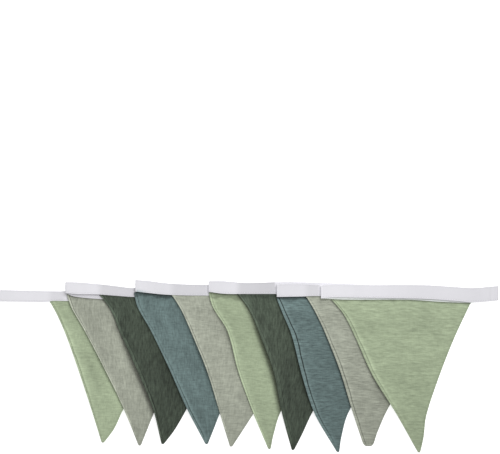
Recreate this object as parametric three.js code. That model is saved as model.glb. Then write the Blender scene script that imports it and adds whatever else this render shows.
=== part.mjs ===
// A garland of ten cloth pennants on a tape, folded back and forth along the tape and laid flat.
// Millimetres, +Z up. The origin is on the surface it lies on, under the middle of the folded
// garland; +X runs along the tape and +Y points from the pennants' tips to the tape.
import * as THREE from "three";

// Pennants: two plies of muslin sewn together, pressed thinner where the tape holds them
const PENNANT_WIDTH = 180;
const CLOTH_THICKNESS = 1.2;
const PRESSED_THICKNESS = 0.6;
const CLOTH_PITCH = 1.8;
const TIP_WIDTH = 3;

// Tape: a strip folded lengthwise over the pennants' top edges
const TAPE_PLY = 0.5;
const CLEARANCE = 0.3;
const SLOT = PRESSED_THICKNESS + 2 * CLEARANCE;
const TAPE_THICKNESS = SLOT + 2 * TAPE_PLY;
const TAPE_PITCH = TAPE_THICKNESS + CLEARANCE;
const FOLD_INSET = (TAPE_PITCH + TAPE_THICKNESS) / 2;
const CAUGHT_DEPTH = 8;
const HEM_LENGTH = 10;
const HEM_EXTRA = 1;
const HEM_TAPER = 2;

// Draping: how far an upper layer takes to come down past the edge of a lower one
const EDGE_CLEARANCE = 2;
const CLOTH_EASE = 26;
const TAPE_EASE = 60;
const HELD_Y = 80;
const LOOSE_Y = 38;
const SHOULDER = 2;

// Raised sides: how far in from the side they reach, and the shares of its length that they take
const LIFT_REACH = 34;
const LIFT_HALF_LENGTH = 0.45;
const CURL = { from: 0.45, rise: 0.3, fall: 0.2 };

// Fineness of the faces
const PENNANT_COLUMNS = 16;
const TAPE_STEP = 12;
const FOLD_STEPS = 5;

// The tape lies in passes, each on top of the one before and joined to it by a fold. A pass runs
// from x = from to x = to. edges are its two edges in plan, in rows of x, upper y and lower y.
// ease is the length over which later passes come down beyond its folds.
const PASSES = [
  {
    from: -410, to: 46.3,
    edges: [
      [-410, 99.9, 85.2], [-231, 98.3, 83.4], [-172, 96.9, 82.6], [-163, 96.7, 84.2], [46.3, 95, 80.8],
    ],
  },
  {
    from: 46.3, to: -147.9,
    edges: [
      [-147.9, 108.7, 94.4], [-136, 104.4, 89.8], [-98, 101, 86.3], [46.3, 95, 80.8],
    ],
  },
  {
    from: -147.9, to: 125,
    edges: [
      [-147.9, 108.7, 94.4], [-129, 108.2, 92.8], [-107, 106.2, 92.6], [-87, 104, 91.2], [-59, 100.9, 89.3],
      [125, 100, 86],
    ],
  },
  {
    from: 125, to: -57.6,
    edges: [
      [-57.6, 111.7, 96.4], [-38, 108.5, 95.2], [-13, 105.8, 92.6], [36, 103.5, 91.6],
      [125, 100, 86],
    ],
  },
  {
    from: -57.6, to: 222,
    edges: [
      [-57.6, 111.7, 96.4], [-38, 109.9, 94.3], [-20, 107.5, 92.5], [8, 105.7, 91.3],
      [36, 105.2, 91.2], [222, 102, 88],
    ],
  },
  {
    from: 222, to: 36.6,
    edges: [
      [36.6, 110.1, 96.2], [57, 108.2, 94.2], [75, 106.6, 93.6], [222, 102, 88],
    ],
  },
  {
    from: 36.6, to: 309,
    edges: [
      [36.6, 110.1, 96.2], [57, 110, 93.6], [84, 107.7, 93.3], [135, 108.9, 93.2],
      [180, 107.9, 92.5], [309, 102, 88],
    ],
  },
  {
    from: 309, to: 124.1,
    edges: [
      [124.1, 105.9, 89.6], [142, 104, 90], [161, 103.8, 90.4], [309, 102, 88],
    ],
  },
  {
    from: 124.1, to: 383,
    edges: [
      [124.1, 105.9, 89.6], [154, 106.2, 90], [180, 104.7, 90.6], [383, 97.4, 82.8],
    ],
    ease: 24,
  },
  {
    from: 383, to: 180.8,
    edges: [
      [180.8, 104, 87.6], [210, 101.2, 86.2], [294, 100.8, 85.8], [336, 98.1, 83.1],
      [372, 96.8, 81.8], [383, 97.4, 82.8],
    ],
    ease: 24,
  },
  {
    from: 180.8, to: 410,
    edges: [
      [180.8, 104, 87.6], [198, 105.7, 88.9], [231, 105.1, 88.6], [315, 104.8, 86.9],
      [356, 102.2, 84], [377, 101.1, 82.4], [410, 103.6, 84.8],
    ],
  },
];

// The shares of the way down a side at which its bow is given
const LEFT_BOW_AT = [0.1, 0.25, 0.5, 0.75];
const RIGHT_BOW_AT = [0.25, 0.5, 0.75, 0.9];

// The pennants from the lowest to the topmost; pennant i hangs from pass i. corner is the x of its
// left corner, tip its point in plan. The bows say how far each side bends to +X at those shares of
// the way down. lift raises the left side off what lies under it, most at liftAt of the way down,
// and curl does the same for the right side.
const PENNANTS = [
  {
    cloth: "light_green", corner: -167.8, tip: [-99.6, -98.4],
    leftBow: [3.2, 5, 4.5, 2.7], rightBow: [0, -1, -1.5, 2.2], lift: 2, liftAt: 0.6, curl: 1.5,
  },
  {
    cloth: "beige", corner: -146.6, tip: [-52.1, -102.2],
    leftBow: [-2, 0.8, 3.1, 3.5], rightBow: [0, -1, -2.4, -1], lift: 1.5, liftAt: 0.5, curl: 1,
  },
  {
    cloth: "dark_green", corner: -103.5, tip: [-22.5, -100.3],
    leftBow: [6, 6, 8.2, 8.2], rightBow: [2, 5, 5.8, 4.4], lift: 5, liftAt: 0.55, curl: 1.5,
  },
  {
    cloth: "blue_grey", corner: -59.6, tip: [34.1, -100.3],
    leftBow: [-4.4, -1.8, -1, -2.4], rightBow: [0, -1, -2.6, -1], lift: 1.5, liftAt: 0.6, curl: 1,
  },
  {
    cloth: "beige", corner: -10.3, tip: [65.6, -103.5],
    leftBow: [4.6, 6.4, 7.6, 3.9], rightBow: [2, 4, 5, 2.3], lift: 2.5, liftAt: 0.4, curl: 1.5,
  },
  {
    cloth: "light_green", corner: 36.4, tip: [115.1, -106.7],
    leftBow: [-1.6, 5.2, -0.6, -1.8], rightBow: [-5, -9, -11.8, -6], lift: 2, liftAt: 0.3, curl: 2,
  },
  {
    cloth: "dark_green", corner: 74.6, tip: [145.3, -108],
    leftBow: [7.2, 10, 11.2, 3.9], rightBow: [0, -1, -3, -0.8], lift: 6, liftAt: 0.4, curl: 2,
  },
  {
    cloth: "blue_grey", corner: 123.4, tip: [203.5, -110.6],
    leftBow: [0, 0.6, -6.2, -9.3], rightBow: [-5, -10, -13.4, -7], lift: 2.5, liftAt: 0.5, curl: 2,
  },
  {
    cloth: "beige", corner: 162, tip: [242.6, -102.9],
    leftBow: [3.9, 6.4, 6.7, 2.8], rightBow: [0, -2, -5, -3.4], lift: 2, liftAt: 0.5, curl: 1.5,
    tipWidth: 12,
  },
  {
    cloth: "light_green", corner: 194.1, tip: [307.9, -111],
    leftBow: [4.9, 3.2, -2.3, 0.3], rightBow: [-5.8, -8.5, -8.4, -2.4], lift: 2.5, liftAt: 0.6, curl: 3,
  },
];
const COLOURS = {
  light_green: 0xa0ad90,
  beige: 0x9da193,
  dark_green: 0x495347,
  blue_grey: 0x6b7e7d,
  tape: 0xe5e4e9,
};

const { clamp, lerp } = THREE.MathUtils;

// 0 below 0 and 1 above 1, with a soft S between
function ease(value) {
  const v = clamp(value, 0, 1);
  return v * v * (3 - 2 * v);
}

// A smooth line through [x, y] rows with rising x, level beyond its ends
function through(rows, x) {
  const last = rows.length - 1;
  if (x <= rows[0][0]) return rows[0][1];
  if (x >= rows[last][0]) return rows[last][1];
  const i = rows.findIndex((row) => row[0] > x) - 1;
  const slope = (a, b) => (rows[b][1] - rows[a][1]) / (rows[b][0] - rows[a][0]);
  const span = rows[i + 1][0] - rows[i][0];
  const t = (x - rows[i][0]) / span;
  const start = slope(Math.max(i - 1, 0), i + 1) * span;
  const end = slope(i, Math.min(i + 2, last)) * span;
  const rise = t * t * (3 - 2 * t);
  return lerp(rows[i][1], rows[i + 1][1], rise) + start * t * (1 - t) ** 2 - end * t ** 2 * (1 - t);
}

const passTop = (pass, x) => through(pass.edges, x);

// The y of the tape's lower edge, where a pennant comes out of it
const mouth = (pass, x) => through(pass.edges.map(([at, , lower]) => [at, lower]), x);

// 1 where this pass of tape lies, easing to 0 beyond its folds
function tapeCover(pass, x) {
  const beyond = Math.max(Math.min(pass.from, pass.to) - x, x - Math.max(pass.from, pass.to), 0);
  return 1 - ease((beyond - EDGE_CLEARANCE) / (pass.ease ?? TAPE_EASE));
}

// Height of the middle of a pass of tape, which lies on all the passes before it
function tapeHeight(index, x) {
  const below = PASSES.slice(0, index).reduce((sum, pass) => sum + tapeCover(pass, x), 0);
  return TAPE_THICKNESS / 2 + TAPE_PITCH * below;
}

// A pennant's two corners, its tip and the lines of its sides, worked out once from its row
function outline(pennant, pass) {
  const sides = [
    { x: pennant.corner, bow: pennant.leftBow, at: LEFT_BOW_AT, outward: -1 },
    { x: pennant.corner + PENNANT_WIDTH, bow: pennant.rightBow, at: RIGHT_BOW_AT, outward: 1 },
  ].map(({ x, bow, at, outward }) => ({
    x,
    y: mouth(pass, x),
    tipX: pennant.tip[0] + (outward * (pennant.tipWidth ?? TIP_WIDTH)) / 2,
    bow: [[0, 0], ...bow.map((b, i) => [at[i], b]), [1, 0]],
  }));
  return { ...pennant, pass, sides, tipY: pennant.tip[1] };
}

const outlines = PENNANTS.map((pennant, i) => outline(pennant, PASSES[i]));

const downSide = (side, tipY, y) => clamp((side.y - y) / (side.y - tipY), 0, 1);
const sideX = (side, t) => lerp(side.x, side.tipX, t) + through(side.bow, t);

// How far a side stands up off what lies under it, at a point of the pennant
function lift(shape, x, y) {
  const [left, right] = shape.sides;
  const down = downSide(left, shape.tipY, y);
  const alongLeft = ease(1 - Math.abs(down - shape.liftAt) / LIFT_HALF_LENGTH);
  const nearLeft = ease(1 - (x - sideX(left, down)) / LIFT_REACH);
  const low = downSide(right, shape.tipY, y);
  const alongRight = ease((low - CURL.from) / CURL.rise) * ease((1 - low) / CURL.fall);
  const nearRight = ease(1 - (sideX(right, low) - x) / LIFT_REACH);
  return shape.lift * alongLeft * nearLeft + shape.curl * alongRight * nearRight;
}

// 1 over a pennant and a little beyond it, easing to 0 further out
function clothCover(shape, x, y) {
  const [left, right] = shape.sides.map((side) => sideX(side, downSide(side, shape.tipY, y)));
  const beyond = (distance) => ease(1 + (distance + EDGE_CLEARANCE) / CLOTH_EASE);
  return beyond(x - left) * beyond(right - x) * beyond(y - shape.tipY);
}

// Height of the middle of a pennant's cloth: it lies on the pennants before it, and near the tape
// it rises or falls to the height of its own pass
function clothHeight(index, x, y) {
  const shape = outlines[index];
  const below = outlines.slice(0, index).map((lower) => {
    return (CLOTH_PITCH + lift(lower, x, y)) * clothCover(lower, x, y);
  });
  const loose = below.reduce((sum, height) => sum + height, CLOTH_THICKNESS / 2 + lift(shape, x, y));
  const held = ease((y - LOOSE_Y) / (HELD_Y - LOOSE_Y));
  return lerp(loose, tapeHeight(index, x), held);
}

// The stretch of a pennant's top edge that the tape holds, clear of the folds at both ends
function heldSpan(index) {
  const { pass, sides } = outlines[index];
  const inset = FOLD_INSET + CLEARANCE;
  const [low, high] = [Math.min(pass.from, pass.to) + inset, Math.max(pass.from, pass.to) - inset];
  return [Math.max(sides[0].x, low), Math.min(sides[1].x, high)];
}

// The points of a pennant in rows across it: one in the tape, one at the tape's mouth, and then
// rows at the full thickness that lose a column each on the way to the tip
function pennantRows(index) {
  const shape = outlines[index];
  const [left, right] = shape.sides;
  const point = (x, y, thickness) => ({ x, y, z: clothHeight(index, x, y), half: thickness / 2 });
  const row = (columns, make) => Array.from({ length: columns + 1 }, (_, j) => make(j / columns));
  const heldRow = (offset) =>
    row(PENNANT_COLUMNS, (u) => {
      const x = lerp(...heldSpan(index), u);
      return point(x, mouth(shape.pass, x) + offset, PRESSED_THICKNESS);
    });
  const looseRows = Array.from({ length: PENNANT_COLUMNS }, (_, i) => {
    const down = i / (PENNANT_COLUMNS - 1);
    return row(PENNANT_COLUMNS - i, (u) => {
      const top = mouth(shape.pass, lerp(left.x, right.x, u)) - SHOULDER;
      const y = lerp(top, shape.tipY, down);
      const along = lerp(downSide(left, shape.tipY, y), downSide(right, shape.tipY, y), u);
      return point(lerp(sideX(left, along), sideX(right, along), u), y, CLOTH_THICKNESS);
    });
  });
  return [heldRow(CAUGHT_DEPTH), heldRow(-CLEARANCE), ...looseRows];
}

// Two rows of points joined by triangles that face up, the lower row with as many points or one less
function rowTriangles(upper, lower) {
  const triangles = [];
  const same = upper.length === lower.length;
  for (let j = 0; j + 1 < upper.length; j += 1) {
    triangles.push([upper[j], lower[j], same ? lower[j + 1] : upper[j + 1]]);
    if (same) triangles.push([upper[j], lower[j + 1], upper[j + 1]]);
    else if (j + 1 < lower.length) triangles.push([lower[j], lower[j + 1], upper[j + 1]]);
  }
  return triangles;
}

function closedGeometry(positions, triangles) {
  const geometry = new THREE.BufferGeometry();
  geometry.setAttribute("position", new THREE.Float32BufferAttribute(positions.flat(), 3));
  geometry.setIndex(triangles.flat());
  geometry.computeVertexNormals();
  return geometry;
}

// A sheet of cloth as one closed solid: its upper face, its under face and the rim between them
function pennantGeometry(index) {
  const rows = pennantRows(index);
  const points = rows.flat();
  const number = new Map(points.map((point, i) => [point, i]));
  const count = points.length;
  const surface = (side) => points.map((p) => [p.x, p.y, p.z + side * p.half]);
  const triangles = rows.slice(1).flatMap((row, i) => rowTriangles(rows[i], row));
  const upper = triangles.map((triangle) => triangle.map((p) => number.get(p)));
  const under = upper.map(([a, b, c]) => [a + count, c + count, b + count]);
  const loop = [
    ...rows.map((row) => row[0]),
    ...rows.at(-1).slice(1),
    ...rows.slice(0, -1).reverse().map((row) => row.at(-1)),
    ...rows[0].slice(1, -1).reverse(),
  ].map((p) => number.get(p));
  const rim = loop.flatMap((a, i) => {
    const b = loop[(i + 1) % loop.length];
    return [[a + count, b + count, b], [a + count, b, a]];
  });
  return closedGeometry([...surface(1), ...surface(-1)], [...upper, ...under, ...rim]);
}

// Places along a pass at which the tape has a section: in step with the pennant's own columns where
// it holds one, evenly beyond it, and at both ends of a hem's taper
function passPlaces(pass, index) {
  const sign = Math.sign(pass.to - pass.from);
  const first = index === 0;
  const last = index === PASSES.length - 1;
  const start = first ? pass.from : pass.from + sign * FOLD_INSET;
  const end = last ? pass.to : pass.to - sign * FOLD_INSET;
  const between = (a, b, steps) => Array.from({ length: steps }, (_, i) => lerp(a, b, i / steps));
  const even = (a, b) => between(a, b, Math.max(1, Math.ceil(Math.abs(b - a) / TAPE_STEP)));
  const hem = HEM_LENGTH + HEM_TAPER;
  if (last) return [...even(start, end - hem), end - hem, end - HEM_LENGTH, end];
  const held = heldSpan(index).sort((a, b) => sign * (a - b));
  const lead = first ? [start, start + HEM_LENGTH, ...even(start + hem, held[0])] : even(start, held[0]);
  return [...lead, ...between(...held, PENNANT_COLUMNS), ...even(held[1], end), end];
}

// The run of the tape as stations: x and z of its middle, the angle of its run in the XZ plane,
// the y of its two edges and how much a hem adds to its thickness
function passStations(pass, index) {
  const sign = Math.sign(pass.to - pass.from);
  return passPlaces(pass, index).map((x) => {
    const rise = tapeHeight(index, x + 1) - tapeHeight(index, x - 1);
    const fromEnd = Math.min(x - PASSES[0].from, PASSES.at(-1).to - x);
    const extra = fromEnd < HEM_LENGTH + HEM_TAPER / 2 ? HEM_EXTRA : 0;
    return {
      x,
      z: tapeHeight(index, x) + extra / 2,
      angle: Math.atan2(sign * rise, sign * 2),
      top: passTop(pass, x),
      low: mouth(pass, x),
      extra,
    };
  });
}

// The half turn that joins a pass to the next one, on top of it
function foldStations(pass, index) {
  const radius = TAPE_PITCH / 2;
  const sign = Math.sign(pass.to - pass.from);
  const centre = pass.to - sign * FOLD_INSET;
  const base = tapeHeight(index, centre);
  return Array.from({ length: FOLD_STEPS - 1 }, (_, i) => {
    const turn = (Math.PI * (i + 1)) / FOLD_STEPS;
    return {
      x: centre + sign * radius * Math.sin(turn),
      z: base + radius * (1 - Math.cos(turn)),
      angle: sign > 0 ? turn : Math.PI - turn,
      top: passTop(pass, pass.to),
      low: mouth(pass, pass.to),
      extra: 0,
    };
  });
}

// The tape's section at a station, a U on its side that opens towards the pennants
function tapeSection({ x, z, angle, top, low, extra }) {
  const outer = (TAPE_THICKNESS + extra) / 2;
  const inner = SLOT / 2;
  const corners = [
    [low, -outer],
    [top, -outer],
    [top, outer],
    [low, outer],
    [low, inner],
    [top - TAPE_PLY, inner],
    [top - TAPE_PLY, -inner],
    [low, -inner],
  ];
  return corners.map(([y, across]) => [x - across * Math.sin(angle), y, z + across * Math.cos(angle)]);
}

function tapeGeometry() {
  const stations = PASSES.flatMap((pass, index) => [
    ...passStations(pass, index),
    ...(index < PASSES.length - 1 ? foldStations(pass, index) : []),
  ]);
  const sections = stations.map(tapeSection);
  const corners = sections[0].length;
  const walls = sections.slice(1).flatMap((_, i) =>
    Array.from({ length: corners }, (__, j) => {
      const [a, b] = [i * corners + j, i * corners + ((j + 1) % corners)];
      return [[a, b, b + corners], [a, b + corners, a + corners]];
    }).flat(),
  );
  const endFace = [[0, 1, 6], [0, 6, 7], [1, 2, 5], [1, 5, 6], [2, 3, 4], [2, 4, 5]];
  const lastSection = (sections.length - 1) * corners;
  const startCap = endFace.map(([a, b, c]) => [a, c, b]);
  const endCap = endFace.map((triangle) => triangle.map((corner) => corner + lastSection));
  return closedGeometry(sections.flat(), [...walls, ...startCap, ...endCap]);
}

function cloth(name, geometry, colour) {
  const material = new THREE.MeshStandardMaterial({ color: colour, roughness: 0.95, metalness: 0 });
  const mesh = new THREE.Mesh(geometry, material);
  mesh.name = name;
  return mesh;
}

const garland = new THREE.Group();
PENNANTS.forEach((pennant, index) => {
  const name = `pennant_${String(index + 1).padStart(2, "0")}`;
  garland.add(cloth(name, pennantGeometry(index), COLOURS[pennant.cloth]));
});
garland.add(cloth("tape", tapeGeometry(), COLOURS.tape));

export default garland;
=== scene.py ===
"""A garland of ten muslin pennants on a white binding tape, folded back and forth and laid flat.

The tables give millimetres in the frame of the model; meshes are made in metres.
"""
import logging
import math
from dataclasses import dataclass, field
from enum import Enum
from typing import Any, Optional

import bpy
import numpy as np
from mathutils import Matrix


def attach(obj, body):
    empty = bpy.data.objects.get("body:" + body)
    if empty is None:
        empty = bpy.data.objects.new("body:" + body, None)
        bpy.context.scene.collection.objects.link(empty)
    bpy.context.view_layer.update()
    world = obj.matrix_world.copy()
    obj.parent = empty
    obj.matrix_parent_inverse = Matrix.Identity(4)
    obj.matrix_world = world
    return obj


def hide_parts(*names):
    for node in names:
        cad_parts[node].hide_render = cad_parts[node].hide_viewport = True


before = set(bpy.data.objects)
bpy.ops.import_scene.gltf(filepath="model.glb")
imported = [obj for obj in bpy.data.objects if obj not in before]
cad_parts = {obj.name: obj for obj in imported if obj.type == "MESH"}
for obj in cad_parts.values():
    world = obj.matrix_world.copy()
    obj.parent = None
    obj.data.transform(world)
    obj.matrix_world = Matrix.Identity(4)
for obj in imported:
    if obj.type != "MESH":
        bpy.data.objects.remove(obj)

log = logging.getLogger("bunting")
MM = 0.001

# Types of the rows of numbers
Array = np.ndarray
Two = tuple[float, float]
Three = tuple[float, float, float]
Four = tuple[float, float, float, float]
Five = tuple[float, float, float, float, float]
Rows = tuple[Three, ...]


class Cloth(Enum):
    """The woven goods of the garland, by their slot names, which their materials take."""

    LIGHT_GREEN = "muslin_light_green"
    BEIGE = "muslin_beige"
    DARK_GREEN = "muslin_dark_green"
    BLUE_GREY = "muslin_blue_grey"
    TAPE = "tape_white"


# Shares of the way down a pennant's side at which its rows of numbers give a value
LEFT_BOW_AT = (0.1, 0.25, 0.5, 0.75)
RIGHT_BOW_AT = (0.25, 0.5, 0.75, 0.9)
FIVE_PLACES = (0, 0.25, 0.5, 0.75, 1)


@dataclass(frozen=True)
class TapePass:
    """One run of the tape between two folds.

    Attributes:
        start: x at which the run begins.
        end: x at which it ends.
        edges: rows of x, upper y and lower y.
        ease: length over which later runs come down beyond its folds.
        caught: how much darker the tape looks where it holds its pennant.
    """

    start: float
    end: float
    edges: Rows
    ease: float
    caught: float

    @property
    def sign(self) -> float:
        """1 where the run goes to +X, otherwise -1."""
        return math.copysign(1.0, self.end - self.start)

    @property
    def low(self) -> float:
        """The lower of its two x."""
        return min(self.start, self.end)

    @property
    def high(self) -> float:
        """The higher of its two x."""
        return max(self.start, self.end)


@dataclass(frozen=True)
class Ridge:
    """A soft crease that stands up from a pennant, or a stretch of painted shade over a shallow trough in
    it.

    Attributes:
        start: x and y of one end, in plan.
        end: x and y of the other end.
        width: distance from its crest at which it has sunk to about a third.
        height: height of its crest, or the share of the light that the painted shade takes there.
    """

    start: Two
    end: Two
    width: float
    height: float

    def rise(self, x: Array, y: Array) -> Array:
        """Height of the ridge over each point.

        Args:
            x: x of the points.
            y: y of the points.

        Returns:
            The heights.
        """
        run = np.subtract(self.end, self.start)
        length = max(float(np.hypot(*run)), 1e-6)
        along = ((x - self.start[0]) * run[0] + (y - self.start[1]) * run[1]) / length**2
        held = np.clip(along, 0, 1)
        away = np.hypot(x - self.start[0] - held * run[0], y - self.start[1] - held * run[1])
        return self.height * np.exp(-((away / self.width) ** 2))


@dataclass(frozen=True)
class PennantCut:
    """One pennant as it lies.

    Attributes:
        cloth: what it is cut from.
        corner: x of its left corner.
        tip: x and y of its point.
        left_bow: how far its left side bends to +X at the shares of LEFT_BOW_AT of the way down.
        right_bow: the same for its right side, at RIGHT_BOW_AT.
        lift: how far its left side stands up.
        lift_at: where it stands up most, as a share of the way down.
        curl: how far its right side stands up low down.
        rim: width of the rolled edge at five places down the left side.
        seam: how deep the seam inside that edge is pressed at the same places; the painted shade in the
            seam follows it.
        rim_ply_and_highlight: how much lighter the rolled edge is than the cloth, from its double ply and
            a painted highlight.
        glow: strength of the painted highlight on the cloth just inside the seam, at the same five places.
        streak: 0 where the crinkles run across the pennant, 1 where they run down it.
        tone: painted light on this pennant's cloth, given as its brightness at the top, in the middle and
            low down.
        ridges: its soft creases.
        shades: painted shade over troughs between them; where the share is below 0, painted light over
            raised stretches, and a pale streak at pennant 4's tip.
        tape_shadow: how dark the painted shadow just under the tape is, and for how far down.
        cast: how dark the painted shadow is that it casts on the cloth below along its left side, at the
            same five places.
        contact_shadow: how dark the painted contact shadow is on the cloth below, right beside that side.
        rim_shade: how much darker its outermost edge is from painted shade, and over what width.
        tip_width: width of its point.
        tip_squeeze: how narrow its last row is, as a share of that width.
    """

    cloth: Cloth
    corner: float
    tip: Two
    left_bow: Four
    right_bow: Four
    lift: float
    lift_at: float
    curl: float
    rim: Five
    seam: Five
    rim_ply_and_highlight: float
    glow: Five
    streak: float
    tone: Three
    ridges: tuple[Ridge, ...] = ()
    shades: tuple[Ridge, ...] = ()
    tape_shadow: Two = (0.0, 2.0)
    cast: Five = (0, 0, 0, 0, 0)
    contact_shadow: float = 0.0
    rim_shade: Two = (0.12, 0.45)
    tip_width: float = 3.0
    tip_squeeze: float = 0.3


# Both ends of the tape and the folds between them, in order: x, upper y and lower y
TURNS = (
    (-410, 99.9, 85.2), (46.3, 95, 80.8), (-147.9, 108.7, 94.4), (125, 100, 86), (-57.6, 111.7, 96.4),
    (222, 102, 88), (36.6, 110.1, 96.2), (309, 102, 88), (124.1, 105.9, 89.6), (383, 97.4, 82.8),
    (180.8, 104, 87.6), (410, 103.6, 84.8),
)

# Ease and caught of each run, and the rows between its ends
RUNS = (
    (60, 0.89, (-231, 98.3, 83.4), (-172, 96.9, 82.6), (-163, 96.7, 84.2)),
    (60, 0.87, (-136, 104.4, 89.8), (-98, 101, 86.3)),
    (60, 0.845, (-129, 108.2, 92.8), (-107, 106.2, 92.6), (-87, 104, 91.2), (-59, 100.9, 89.3)),
    (60, 0.87, (-38, 108.5, 95.2), (-13, 105.8, 92.6), (36, 103.5, 91.6)),
    (60, 0.88, (-38, 109.9, 94.3), (-20, 107.5, 92.5), (8, 105.7, 91.3), (36, 105.2, 91.2)),
    (60, 0.87, (57, 108.2, 94.2), (75, 106.6, 93.6)),
    (60, 0.83, (57, 110, 93.6), (84, 107.7, 93.3), (135, 108.9, 93.2), (180, 107.9, 92.5)),
    (60, 0.87, (142, 104, 90), (161, 103.8, 90.4)),
    (24, 0.87, (154, 106.2, 90), (180, 104.7, 90.6)),
    (24, 0.87, (210, 101.2, 86.2), (294, 100.8, 85.8), (336, 98.1, 83.1), (372, 96.8, 81.8)),
    (
        60, 0.95, (198, 105.7, 88.9), (231, 105.1, 88.6), (315, 104.8, 86.9), (356, 102.2, 84),
        (377, 101.1, 82.4),
    ),
)


def creases(*rows: tuple[float, ...]) -> tuple[Ridge, ...]:
    """Ridges from rows of numbers: x and y of both ends, width and height."""
    return tuple(Ridge(row[:2], row[2:4], *row[4:]) for row in rows)


def lay_passes() -> tuple[TapePass, ...]:
    """The runs of the tape, from the rows of TURNS and RUNS.

    Returns:
        The runs, from the lowest to the topmost.
    """
    return tuple(
        TapePass(start[0], end[0], tuple(sorted([start, *inner, end])), ease_length, caught)
        for start, end, (ease_length, caught, *inner) in zip(TURNS, TURNS[1:], RUNS)
    )


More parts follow.
